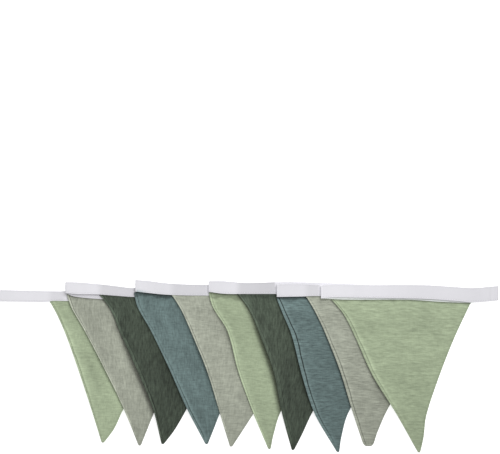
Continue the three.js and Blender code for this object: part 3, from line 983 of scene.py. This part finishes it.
@dataclass
class BindingTape:
    """One length of white tape, folded lengthwise over the pennants and laid in eleven runs."""

    stack: FoldedStack
    width: float = 30.0
    step: float = 2.5
    fold_steps: int = 10
    hem_length: float = 10.0
    hem_taper: float = 2.0
    hem_extra: float = 1.0
    stitch_line: float = 1.7
    pucker: float = 0.05
    pucker_at: float = 2.2
    pucker_width: float = 1.4
    pucker_waves: Two = (2.9, 1.7)
    stitch_sunk: Two = (0.24, 0.06)
    # Painted shade along the groove of the stitching, and its width
    stitch_line_shade: float = 0.5
    line_width: float = 0.35
    pattern_at: float = 9.1
    # Painted light on the band of run 9 under the edge of the topmost run, which lifts that run's shadow,
    # with a slight green cast
    band_run: int = 9
    band_light_and_tint: Three = (1.42, 1.50, 1.38)
    corner_run: int = 4
    corner_at: float = -56.0
    corner_length: float = 10.0
    corner_height: float = 2.6
    corner_shade: Three = (0.42, 0.30, 0.31)
    # Painted light beside the folds that lie on a run, and on the walls of those folds
    fold_light: tuple[float, ...] = (0.12, 0.0, 0.35, 0.35, 0.25)
    fold_reach: float = 1.8
    fold_side_light: tuple[float, ...] = (0.05, 0.1, 0.18, 0.2, 0.24)
    # Painted shade along the upper edge
    crest_shade: float = 0.12
    crest_reach: float = 1.4
    caught_fade: float = 11.0
    # Painted shade, darker towards the right
    shade_at: tuple[float, ...] = (-410, -100, -20, 80, 150, 190, 250, 330, 400)
    shade: tuple[float, ...] = (1.05, 1.05, 0.97, 0.95, 0.92, 0.97, 0.92, 0.86, 0.83)

    def run_places(self, index: int) -> Array:
        """x of the sections of one run, from its start to its end.

        Args:
            index: number of the run, from 0.

        Returns:
            The places, close together where a hem ends.
        """
        run = self.stack.passes[index]
        inset = run.sign * self.stack.fold_inset
        last = index == len(self.stack.passes) - 1
        start = run.start if index == 0 else run.start + inset
        end = run.end if last else run.end - inset
        places = list(np.linspace(start, end, max(2, math.ceil(abs(end - start) / self.step)) + 1))
        for from_end in (self.hem_length, self.hem_length + 0.4, self.hem_length + self.hem_taper):
            if index == 0:
                places.append(start + from_end)
            if last:
                places.append(end - from_end)
        return np.array(sorted(set(places), key=lambda x: run.sign * x))

    def hem_at(self, x: Array) -> Array:
        """What a hem adds to the tape's thickness."""
        from_end = np.minimum(x - self.stack.passes[0].start, self.stack.passes[-1].end - x)
        return self.hem_extra * (1 - ease((from_end - self.hem_length) / self.hem_taper))

    def sections(
        self, index: int, x: Array, z: Array, angle: Array, edge_x: Array, **more: Array
    ) -> dict[str, Array]:
        """Sections of one run, or of the fold after it.

        Args:
            index: number of the run, from 0.
            x: x of their middles.
            z: height of their middles.
            angle: angle of the tape.
            edge_x: x at which the edges of the run are read.
            more: extra (what a hem adds), holds (how much of a pennant they hold) and turned (1
                in a fold). What isn't given is 0.

        Returns:
            All values by name, with the two edges and the number of the run.
        """
        run = self.stack.passes[index]
        none = np.zeros_like(x)
        return {
            "x": x, "z": z, "angle": angle, "run": none + index,
            "top": self.stack.tape_edge(run, edge_x, False),
            "low": self.stack.tape_edge(run, edge_x, True),
            "extra": none, "holds": none, "turned": none, **more,
        }

    def run_stations(self, index: int) -> dict[str, Array]:
        """The sections of one run.

        Args:
            index: number of the run, from 0.

        Returns:
            Their values, by name.
        """
        stack = self.stack
        sign = stack.passes[index].sign
        x = self.run_places(index)
        rise = stack.tape_height(index, x + 1) - stack.tape_height(index, x - 1)
        angle = np.arctan2(sign * rise, np.full_like(x, sign * 2))
        extra = self.hem_at(x)
        holds = np.zeros_like(x)
        if index < len(stack.cuts):
            low, high = stack.held_span(index)
            holds = ease((x - low) / self.caught_fade + 0.5)
            holds = holds * ease((high - x) / self.caught_fade + 0.5)
        z = stack.tape_height(index, x) + extra / 2
        return self.sections(index, x, z, angle, x, extra=extra, holds=holds)

    def fold_stations(self, index: int) -> dict[str, Array]:
        """The half turn that joins a run to the next one, on top of it.

        Args:
            index: number of the run before it, from 0.

        Returns:
            The values of its sections, by name.
        """
        stack = self.stack
        run = stack.passes[index]
        radius = stack.tape_pitch / 2
        centre = run.end - run.sign * stack.fold_inset
        turn = math.pi * np.arange(1, self.fold_steps) / self.fold_steps
        x = centre + run.sign * radius * np.sin(turn)
        z = stack.tape_height(index, np.array([centre]))[0] + radius * (1 - np.cos(turn))
        angle = turn if run.sign > 0 else math.pi - turn
        edge_x = np.full_like(turn, run.end)
        return self.sections(index, x, z, angle, edge_x, turned=np.ones_like(turn))

    def stations(self) -> dict[str, Array]:
        """All sections of the tape in order.

        Returns:
            Their values by name, with the length of tape before each.
        """
        parts = [self.run_stations(0)]
        for index in range(1, len(self.stack.passes)):
            parts += [self.fold_stations(index - 1), self.run_stations(index)]
        joined = {key: np.concatenate([part[key] for part in parts]) for key in parts[0]}
        steps = np.hypot(np.diff(joined["x"]), np.diff(joined["z"]))
        return {**joined, "length": np.concatenate([[0], np.cumsum(steps)])}

    def place(self, at: dict[str, Array], y: Array, across: Array) -> Array:
        """Points of the sections.

        Args:
            at: the sections.
            y: y of the point in each section.
            across: its distance from the middle of the tape, to its front.

        Returns:
            Three numbers for each point.
        """
        x = at["x"] - across * np.sin(at["angle"])
        z = at["z"] + across * np.cos(at["angle"])
        return np.stack([x, y, z], 1)

    def ring(self, at: dict[str, Array]) -> list[tuple[Array, Array, float]]:
        """The points round the sections.

        Args:
            at: the sections.

        Returns:
            For each place round the section y of its points, their distance from the middle of
            the tape, and how dark the seam is there.
        """
        outer = (self.stack.tape_thickness + at["extra"]) / 2
        rows = []
        for face, (from_top, distance, inset) in [
            *((-1, row) for row in TAPE_FACE), *((1, row) for row in TAPE_FACE[::-1]),
        ]:
            slow, fast = (at["length"] / wave for wave in self.pucker_waves)
            wave = np.sin(slow + face) + np.sin(fast + 2 * face)
            drawn = 0 if from_top else bell(distance - self.pucker_at, self.pucker_width)
            across = face * (outer - (inset + self.pucker * (1 + wave / 2) * drawn))
            # Painted shade along the groove of the stitching
            dark = 0 if from_top else bell(distance - self.stitch_line, self.line_width)
            y = at["top"] - distance if from_top else at["low"] + distance
            rows.append((y, across, self.stitch_line_shade * dark))
        for from_top, distance, face, off in TAPE_INSIDE:
            y = at["top"] - distance if from_top else at["low"] + distance
            rows.append((y, np.full_like(y, face * (self.stack.slot / 2 + off)), 0.0))
        return rows

    def build(self) -> bpy.types.Object:
        """Makes the tape's mesh.

        Returns:
            The new object.
        """
        at = self.stations()
        ring = self.ring(at)
        corners = len(ring)
        count = len(at["x"])
        width = np.stack([y - at["low"] for y, _, _ in ring], 1)
        length = np.repeat(at["length"][:, None], corners, 1)
        flat = np.stack([length * MM, width * MM, np.full_like(width, self.pattern_at)], 2)
        points = np.stack([self.place(at, y, across) for y, across, _ in ring], 1)
        a = np.arange((count - 1) * corners).reshape(-1, corners)
        b = np.roll(a, -1, 1)
        quads = np.stack([a, b, b + corners, a + corners], 2).reshape(-1, 4).tolist()
        first = list(range(corners))[::-1]
        final = list(range((count - 1) * corners, count * corners))
        return make_object(
            "binding_tape",
            points.reshape(-1, 3),
            [*quads, first, final],
            {
                "cloth_place": flat.reshape(-1, 3),
                # Painted shade along the stitching
                "seam": np.tile([dark for _, _, dark in ring], count),
                "streak": np.ones(count * corners),
                "light_and_tint": self.light_and_tints(at, width).reshape(-1, 3),
            },
        )

    def light_and_tints(self, at: dict[str, Array], width: Array) -> Array:
        """How the cloth inside changes the colour of the tape, with painted light and shade: darker
        towards the right and along the upper edge, lighter beside and on the folds and on the band of run
        9, and a darker patch by pennant 4's corner.

        Args:
            at: the sections.
            width: height of each point above the lower edge.

        Returns:
            Three factors for the colour of each point.
        """
        passes = self.stack.passes
        caught = np.array([run.caught for run in passes])[at["run"].astype(int)]
        plain = lerp(1.0, caught, at["holds"]) * through(self.shade_at, self.shade, at["x"])
        # Painted light beside each fold and on its wall
        for turn, (light, side) in enumerate(zip(self.fold_light, self.fold_side_light)):
            before = np.maximum(passes[2 * turn + 2].start - at["x"] - 0.5, 0)
            near = (at["run"] == 2 * turn) * light * bell(before, self.fold_reach)
            plain = plain * (1 + near + at["turned"] * (at["run"] == 2 * turn + 1) * side)
        # Painted shade along the upper edge
        from_top = (at["top"] - at["low"])[:, None] - width
        crest = 1 - self.crest_shade * bell(from_top, self.crest_reach)
        light_and_tint = (plain[:, None] * crest)[..., None] * np.ones(3)
        along = bell(np.maximum(at["x"] - self.corner_at, 0), self.corner_length)
        corner = ((at["run"] == self.corner_run) * along)[:, None]
        corner = corner * bell(width, self.corner_height)
        light_and_tint = light_and_tint * (1 - corner[..., None] * np.array(self.corner_shade))
        # Painted light on the band of run 9
        band = ((at["run"] == self.band_run) & (at["turned"] == 0))[:, None, None]
        return np.where(band, light_and_tint * np.array(self.band_light_and_tint), light_and_tint)

    def stitch_paths(self) -> list[Array]:
        """Lines that the stitching follows, one on each face of each run.

        Returns:
            The points of each line.
        """
        at = self.stations()
        outer = (self.stack.tape_thickness + at["extra"]) / 2
        paths = []
        for face, sunk in zip((-1, 1), self.stitch_sunk):
            line = self.place(at, at["low"] + self.stitch_line, face * (outer - sunk))
            for index in range(len(self.stack.passes)):
                inside = (at["run"] == index) & (at["turned"] == 0)
                paths.append(line[inside][1:-1])
        return paths


# Node trees


@dataclass
class Nodes:
    """A node tree, with short ways to add to it."""

    tree: bpy.types.NodeTree

    def add(self, kind: str, inputs: Optional[dict] = None, **settings: Any) -> Any:
        """Adds a node.

        Args:
            kind: the node's type.
            inputs: values or sockets for its inputs, by name or number.
            settings: its other properties.

        Returns:
            The outputs of the new node.
        """
        made = self.tree.nodes.new(kind)
        for key, value in settings.items():
            setattr(made, key, value)
        for key, value in (inputs or {}).items():
            if isinstance(value, bpy.types.NodeSocket):
                self.tree.links.new(value, made.inputs[key])
            else:
                made.inputs[key].default_value = value
        return made.outputs

    def math(self, operation: str, *values: Any) -> Any:
        """The result of a Math node on up to three values or sockets."""
        return self.add("ShaderNodeMath", dict(enumerate(values)), operation=operation)[0]

    def vector(self, operation: str, first: Any, second: Any) -> Any:
        """The result of a Vector Math node on two vectors, or on one and a scale."""
        inputs = {0: first, "Scale" if operation == "SCALE" else 1: second}
        return self.add("ShaderNodeVectorMath", inputs, operation=operation)[0]

    def noise(self, place: Any, scale: float, detail: float = 2.0, roughness: float = 0.5) -> Any:
        """The outputs of a Noise Texture node."""
        inputs = {"Vector": place, "Scale": scale, "Detail": detail, "Roughness": roughness}
        return self.add("ShaderNodeTexNoise", inputs)

    def attribute(self, name: str, output: str) -> Any:
        """An output of the Attribute node of a named value."""
        return self.add("ShaderNodeAttribute", attribute_name=name)[output]

    def around_one(self, value: Any, amount: float) -> Any:
        """1 plus a small part of what a value from 0 to 1 is above its middle."""
        return self.math("MULTIPLY_ADD", value, amount, 1 - amount / 2)

    def less(self, value: Any, amount: float) -> Any:
        """1 less a part of a value from 0 to 1."""
        return self.math("SUBTRACT", 1.0, self.math("MULTIPLY", value, amount))

    def scaled(self, colour: Three, *factors: Any) -> Any:
        """A colour times the outputs of nodes, each about 1.

        Args:
            colour: three numbers.
            factors: the outputs.

        Returns:
            The output that gives the colour.
        """
        product = factors[0]
        for factor in factors[1:]:
            product = self.math("MULTIPLY", product, factor)
        return self.vector("SCALE", colour, product)

    def bump(self, height: Any, distance: float) -> Any:
        """The normal of a Bump node at full strength."""
        return self.add("ShaderNodeBump", {"Strength": 1.0, "Distance": distance, "Height": height})[0]

    def surface(self, **inputs: Any) -> None:
        """Ends a material with a Principled shader; its inputs are named with _ for a space."""
        named = {key.replace("_", " "): value for key, value in inputs.items()}
        shader = self.add("ShaderNodeBsdfPrincipled", named)
        self.add("ShaderNodeOutputMaterial", {"Surface": shader[0]})


def new_group(name: str, kind: str, inputs: dict[str, str], outputs: dict[str, str]) -> tuple[Nodes, Any]:
    """An empty node group with its sockets.

    Args:
        name: its name.
        kind: type of its tree.
        inputs: short type of each input, by name.
        outputs: short type of each output, by name.

    Returns:
        The group's nodes, and the values that it is given.
    """
    nodes = Nodes(bpy.data.node_groups.new(name, kind))
    for way, sockets in (("INPUT", inputs), ("OUTPUT", outputs)):
        for socket, short in sockets.items():
            nodes.tree.interface.new_socket(socket, in_out=way, socket_type=f"NodeSocket{short}")
    return nodes, nodes.add("NodeGroupInput")


def new_material(name: str) -> tuple[bpy.types.Material, Nodes]:
    """An empty material.

    Args:
        name: its name.

    Returns:
        The material and its nodes.
    """
    material = bpy.data.materials.new(name)
    material.use_nodes = True
    material.node_tree.nodes.clear()
    return material, Nodes(material.node_tree)


# Stitching


@dataclass
class Stitching:
    """Machine stitches along the lower edge of the tape, through both its plies."""

    tape: BindingTape
    pitch: float = 3.2
    stitch: float = 2.5
    radius: float = 0.2
    unevenness: float = 0.08
    seed: int = 4

    def tree(self) -> bpy.types.GeometryNodeTree:
        """Builds the node tree that lays a stitch at each step of a path.

        Returns:
            The tree.
        """
        nodes, given = new_group("stitches_along_a_path", "GeometryNodeTree", {
            "Path": "Geometry", "Pitch": "Float", "Stitch Length": "Float",
            "Thread Radius": "Float", "Unevenness": "Float", "Seed": "Int", "Thread": "Material",
        }, {"Stitches": "Geometry"})
        curve = nodes.add("GeometryNodeMeshToCurve", {"Mesh": given["Path"]})[0]
        points = nodes.add(
            "GeometryNodeCurveToPoints", {"Curve": curve, "Length": given["Pitch"]}, mode="LENGTH"
        )
        ball = nodes.add("GeometryNodeMeshUVSphere", {"Segments": 6, "Rings": 4, "Radius": 1.0})
        thick = given["Thread Radius"]
        half = nodes.math("MULTIPLY", given["Stitch Length"], 0.5)
        size = nodes.add("ShaderNodeCombineXYZ", {"X": thick, "Y": thick, "Z": half})[0]
        stitch = nodes.add("GeometryNodeTransform", {"Geometry": ball["Mesh"], "Scale": size})[0]
        spread = [nodes.math(way, 1.0, given["Unevenness"]) for way in ("SUBTRACT", "ADD")]
        uneven = nodes.add(
            "FunctionNodeRandomValue",
            {2: spread[0], 3: spread[1], "Seed": given["Seed"]}, data_type="FLOAT",
        )[1]
        laid = nodes.add("GeometryNodeInstanceOnPoints", {
            "Points": points["Points"], "Instance": stitch, "Rotation": points["Rotation"],
            "Scale": uneven,
        })[0]
        real = nodes.add("GeometryNodeRealizeInstances", {"Geometry": laid})[0]
        smooth = nodes.add("GeometryNodeSetShadeSmooth", {"Geometry": real})[0]
        dressed = nodes.add(
            "GeometryNodeSetMaterial", {"Geometry": smooth, "Material": given["Thread"]}
        )[0]
        nodes.add("NodeGroupOutput", {"Stitches": dressed})
        return nodes.tree

    def build(self, thread: bpy.types.Material) -> bpy.types.Object:
        """Lays the stitches and turns them into a plain mesh.

        Args:
            thread: material of the thread.

        Returns:
            The new object.
        """
        points: list[tuple[float, ...]] = []
        edges: list[tuple[int, int]] = []
        for path in self.tape.stitch_paths():
            first = len(points)
            points.extend(map(tuple, path * MM))
            edges.extend((i, i + 1) for i in range(first, len(points) - 1))
        mesh = bpy.data.meshes.new("stitch_path")
        mesh.from_pydata(points, edges, [])
        path_object = add_object("stitch_path", mesh)
        modifier = path_object.modifiers.new("stitches", "NODES")
        modifier.node_group = self.tree()
        names = {item.name: item.identifier for item in modifier.node_group.interface.items_tree}
        for name, value in {
            "Pitch": self.pitch * MM, "Stitch Length": self.stitch * MM,
            "Thread Radius": self.radius * MM, "Unevenness": self.unevenness,
            "Seed": self.seed, "Thread": thread,
        }.items():
            modifier[names[name]] = value
        evaluated = path_object.evaluated_get(bpy.context.evaluated_depsgraph_get())
        made = bpy.data.meshes.new_from_object(evaluated)
        made.name = "tape_stitching"
        bpy.data.objects.remove(path_object)
        return add_object("tape_stitching", made)


# Finishes


class Effects:
    """Shader node groups that more than one finish uses. Each is built once."""

    def __init__(self) -> None:
        """Builds the groups."""
        self.weave = self.build_weave()
        self.crinkle = self.build_crinkle()

    def build_weave(self) -> bpy.types.ShaderNodeTree:
        """Plain weave: threads over and under each other, a little uneven.

        Returns:
            The group, with Height and Gap from 0 to 1.
        """
        nodes, given = new_group(
            "plain_weave", "ShaderNodeTree",
            {"Place": "Vector", "Pitch": "Float", "Slub": "Float"},
            {"Height": "Float", "Gap": "Float"},
        )
        noise = nodes.noise(given["Place"], 260.0, roughness=0.6)["Color"]
        reach = nodes.math("MULTIPLY", given["Pitch"], given["Slub"])
        shaken = nodes.vector("SCALE", nodes.vector("SUBTRACT", noise, (0.5, 0.5, 0.5)), reach)
        place = nodes.add("ShaderNodeSeparateXYZ", {0: nodes.vector("ADD", given["Place"], shaken)})
        turns = nodes.math("DIVIDE", math.pi, given["Pitch"])
        waves = [nodes.math("SINE", nodes.math("MULTIPLY", place[way], turns)) for way in "XY"]
        height = nodes.math("MULTIPLY_ADD", nodes.math("MULTIPLY", *waves), 0.5, 0.5)
        gaps = [nodes.less(nodes.math("ABSOLUTE", wave), 1.0) for wave in waves]
        nodes.add("NodeGroupOutput", {"Height": height, "Gap": nodes.math("MAXIMUM", *gaps)})
        return nodes.tree

    def build_crinkle(self) -> bpy.types.ShaderNodeTree:
        """Fine creases of washed cloth, mostly in one direction, soft clouds and thick threads.

        Returns:
            The group, with Height, Cloud and Threads from 0 to 1.
        """
        nodes, given = new_group(
            "washed_crinkle", "ShaderNodeTree", {"Place": "Vector", "Streak": "Float"},
            {"Height": "Float", "Cloud": "Float", "Threads": "Float"},
        )
        streak = given["Streak"]
        mostly = nodes.math("MULTIPLY_ADD", streak, 0.6, 0.2)
        made = {}
        for name, slow, fast, depth, share in (
            ("Height", 60.0, 330.0, 5.0, streak), ("Cloud", 22.0, 60.0, 5.0, streak),
            ("Threads", 120.0, 620.0, 7.0, mostly),
        ):
            across, down = (
                nodes.noise(nodes.vector("MULTIPLY", given["Place"], stretch), 1.0, 3.0, 0.55)["Fac"]
                for stretch in ((slow, fast, depth), (fast, slow, depth))
            )
            inputs = {0: share, 2: across, 3: down}
            made[name] = nodes.add("ShaderNodeMix", inputs, data_type="FLOAT")[0]
        nodes.add("NodeGroupOutput", made)
        return nodes.tree


@dataclass(frozen=True)
class WovenFinish:
    """Plain woven cotton. The values given here are those of washed muslin.

    Creases, clouds, threads, gaps and seam_shade are shares by which those change its brightness.
    Creases is painted light on the crests of the crinkles and painted shade in their troughs, and
    seam_shade is painted shade in the seams and along the stitching.
    Lengths are in metres, and grain is the height of a thread as a share of that of a crease.
    """

    cloth: Cloth
    colour: Three
    roughness: float = 0.92
    specular: float = 0.2
    sheen: float = 0.12
    sheen_roughness: float = 0.6
    pitch: float = 0.00115
    slub: float = 0.8
    gaps: float = 0.16
    creases: float = 0.40
    clouds: float = 0.30
    threads: float = 1.35
    grain: float = 0.16
    relief: float = 0.00042
    seam_shade: float = 0.62

    def make(self, effects: Effects) -> bpy.types.Material:
        """Builds the material.

        Args:
            effects: the shared node groups.

        Returns:
            The material.
        """
        material, nodes = new_material(self.cloth.value)
        place = nodes.attribute("cloth_place", "Vector")
        weave = nodes.add(
            "ShaderNodeGroup", {"Place": place, "Pitch": self.pitch, "Slub": self.slub},
            node_tree=effects.weave,
        )
        crinkle = nodes.add(
            "ShaderNodeGroup", {"Place": place, "Streak": nodes.attribute("streak", "Fac")},
            node_tree=effects.crinkle,
        )
        shade = nodes.scaled(
            self.colour,
            # Painted light on the crinkles' crests and painted shade in their troughs
            nodes.around_one(crinkle["Height"], self.creases),
            nodes.around_one(crinkle["Cloud"], self.clouds),
            nodes.around_one(crinkle["Threads"], self.threads),
            nodes.less(weave["Gap"], self.gaps),
            # Painted shade in the seams and along the stitching
            nodes.less(nodes.attribute("seam", "Fac"), self.seam_shade),
        )
        fine = nodes.math("MULTIPLY", weave["Height"], self.grain)
        nodes.surface(
            # The colour times the painted light and shade, and the tint of the tape
            Base_Color=nodes.vector("MULTIPLY", shade, nodes.attribute("light_and_tint", "Vector")),
            Normal=nodes.bump(nodes.math("ADD", crinkle["Height"], fine), self.relief),
            Roughness=self.roughness, Specular_IOR_Level=self.specular,
            Sheen_Weight=self.sheen, Sheen_Roughness=self.sheen_roughness,
        )
        return material


@dataclass(frozen=True)
class ThreadFinish:
    """Twisted white sewing thread."""

    colour: Three = (0.80, 0.80, 0.83)
    roughness: float = 0.6
    twist: float = 900.0
    twist_shade: float = 0.2
    relief: float = 0.00005

    def make(self) -> bpy.types.Material:
        """Builds the material.

        Returns:
            The material.
        """
        material, nodes = new_material("white_thread")
        strands = nodes.noise(nodes.add("ShaderNodeTexCoord")["Object"], self.twist, 1.0)["Fac"]
        nodes.surface(
            Base_Color=nodes.scaled(self.colour, nodes.around_one(strands, self.twist_shade)),
            Normal=nodes.bump(strands, self.relief), Roughness=self.roughness,
        )
        return material


@dataclass(frozen=True)
class PaperFinish:
    """White paper that is lit from below."""

    colour: Three = (0.86, 0.86, 0.86)
    roughness: float = 0.9
    specular: float = 0.1
    glow: float = 0.56
    grain: float = 300.0
    grain_shade: float = 0.02

    def make(self) -> bpy.types.Material:
        """Builds the material.

        Returns:
            The material.
        """
        material, nodes = new_material("white_paper")
        grain = nodes.noise(nodes.add("ShaderNodeTexCoord")["Object"], self.grain)["Fac"]
        nodes.surface(
            Base_Color=nodes.scaled(self.colour, nodes.around_one(grain, self.grain_shade)),
            Roughness=self.roughness, Specular_IOR_Level=self.specular,
            Emission_Color=(1, 1, 1, 1), Emission_Strength=self.glow,
        )
        return material


FINISHES = (
    WovenFinish(Cloth.LIGHT_GREEN, (0.352, 0.418, 0.279), threads=1.0),
    WovenFinish(Cloth.BEIGE, (0.337, 0.356, 0.292)),
    WovenFinish(Cloth.DARK_GREEN, (0.067, 0.087, 0.063), creases=0.6, clouds=0.52, threads=2.4),
    WovenFinish(Cloth.BLUE_GREY, (0.147, 0.209, 0.205), creases=0.48, clouds=0.4, threads=1.8),
    WovenFinish(
        Cloth.TAPE, (0.783, 0.776, 0.815), roughness=0.8, specular=0.25, sheen=0, pitch=0.0006,
        slub=0.5, gaps=0.08, creases=0, clouds=0.06, threads=0, grain=0.3, relief=0.00012,
        seam_shade=0.25,
    ),
)


# Studio


@dataclass
class Studio:
    """A white light table, a large soft lamp at the upper right and the camera overhead."""

    camera_x: float = 0.090
    camera_y: float = 0.17936
    distance: float = 4.0
    level: float = 0.009
    frame_width: float = 0.64286
    sensor: float = 36.0
    floor_radius: float = 4.0
    floor_sides: int = 96
    sky: float = 0.62
    key_energy: float = 13.0
    key_size: float = 0.9
    key_at: Three = (0.62, 0.80, 1.10)

    def build(self) -> None:
        """Makes the floor, the lights and the camera, and sets how the picture is developed."""
        self.build_floor()
        self.build_world()
        self.build_lamp()
        self.build_camera()
        view = bpy.context.scene.view_settings
        view.view_transform = "Standard"
        view.look = "None"
        view.exposure = 0.0
        view.gamma = 1.0

    def build_floor(self) -> None:
        """Makes the floor, a plain disc."""
        steps = np.linspace(0, 2 * math.pi, self.floor_sides + 1)[:-1]
        radius = self.floor_radius / MM
        points = np.stack([radius * np.cos(steps), radius * np.sin(steps), 0 * steps], 1)
        floor = make_object("floor", points, [list(range(self.floor_sides))], {})
        floor.data.materials.append(PaperFinish().make())

    def build_world(self) -> None:
        """Makes the even white light from all round."""
        world = bpy.data.worlds.new("white_room")
        world.use_nodes = True
        background = world.node_tree.nodes["Background"]
        background.inputs["Color"].default_value = (1, 1, 1, 1)
        background.inputs["Strength"].default_value = self.sky
        bpy.context.scene.world = world

    def build_lamp(self) -> None:
        """Makes the square soft lamp, turned to the garland."""
        lamp = bpy.data.lights.new("key_lamp", "AREA")
        lamp.energy = self.key_energy
        lamp.size = self.key_size
        piece = add_object("key_lamp", lamp)
        piece.location = self.key_at
        aim = np.array([self.camera_x, 0.0, 0.0]) - np.array(self.key_at)
        tilt = math.atan2(math.hypot(aim[0], aim[1]), -aim[2])
        piece.rotation_euler = (tilt, 0, math.atan2(aim[1], aim[0]) - math.pi / 2)
        piece.visible_camera = False

    def build_camera(self) -> None:
        """Makes the camera, straight above, with the frame of the photograph."""
        data = bpy.data.cameras.new("overhead")
        data.sensor_width = self.sensor
        data.lens = self.sensor * self.distance / self.frame_width
        data.clip_start = 0.1
        data.clip_end = 50
        camera = add_object("overhead", data)
        camera.location = (self.camera_x, self.camera_y, self.distance + self.level)
        bpy.context.scene.camera = camera


# The garland


@dataclass
class Bunting:
    """The whole garland: pennants, tape and stitching, each in its own finish."""

    finishes: dict[Cloth, bpy.types.Material]
    thread: bpy.types.Material
    stack: FoldedStack = field(default_factory=FoldedStack)
    pennant_area: float = 0.01755

    def report(self, piece: bpy.types.Object) -> None:
        """Reports a finished piece."""
        log.info("%s: %d faces", piece.name, len(piece.data.polygons))

    def build_pennants(self) -> None:
        """Makes the ten pennants, from the lowest to the topmost."""
        for index, cut in enumerate(self.stack.cuts):
            pennant = Pennant(self.stack, index)
            piece = pennant.build()
            piece.data.materials.append(self.finishes[cut.cloth])
            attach(piece, "root")
            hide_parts(pennant.node)
            self.report(piece)

    def build_tape(self) -> None:
        """Makes the tape and its stitching."""
        maker = BindingTape(self.stack)
        tape = maker.build()
        tape.data.materials.append(self.finishes[Cloth.TAPE])
        length = float(maker.stations()["length"][-1])
        stitching = Stitching(maker).build(self.thread)
        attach(tape, "root")
        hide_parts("tape")
        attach(stitching, "root")
        self.report(tape)
        self.report(stitching)
        log.info("length of tape: %.0f mm", length)


def main() -> None:
    """Builds the studio and the garland, and reports each piece."""
    logging.basicConfig(level=logging.INFO, format="%(message)s")
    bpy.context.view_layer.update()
    Studio().build()
    effects = Effects()
    finishes = {finish.cloth: finish.make(effects) for finish in FINISHES}
    bunting = Bunting(finishes, ThreadFinish().make())
    bunting.build_pennants()
    bunting.build_tape()
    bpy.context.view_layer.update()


if __name__ == "__main__":
    main()
